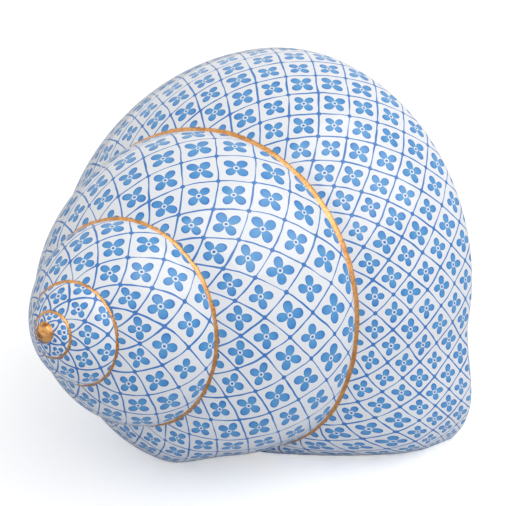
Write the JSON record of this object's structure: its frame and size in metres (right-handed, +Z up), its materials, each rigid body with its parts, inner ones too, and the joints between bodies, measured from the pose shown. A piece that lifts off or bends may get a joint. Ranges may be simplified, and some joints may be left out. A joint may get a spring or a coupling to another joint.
{
  "type": "porcelain shell figurine",
  "caption": "Hollow glazed porcelain sea snail shell that rests on its mouth, with gilt lines in the grooves between its whorls and a gilt tip.",
  "frame": {"origin": "middle of the shell's bounding box, in the plane of the table that it stands on", "axes": "+Z up from the table, +X to the viewer's right of the best side, +Y away from that viewer; the spire's tip lies towards -X, -Y"},
  "size_m": [0.0698, 0.0674, 0.0608],
  "materials": {
    "porcelain": "clear gloss glaze over white porcelain, painted in blue under the glaze",
    "gilding": "fired gilding, polished to a soft shine"
  },
  "bodies": {
    "root": {"body_whorl": "porcelain", "second_whorl": "porcelain", "third_whorl": "porcelain", "fourth_whorl": "porcelain", "nucleus": "porcelain", "columella": "porcelain", "gilt_line_1": "gilding", "gilt_line_2": "gilding", "gilt_line_3": "gilding", "gilt_line_4": "gilding", "tip_bead": "gilding"}
  },
  "joints": []
}
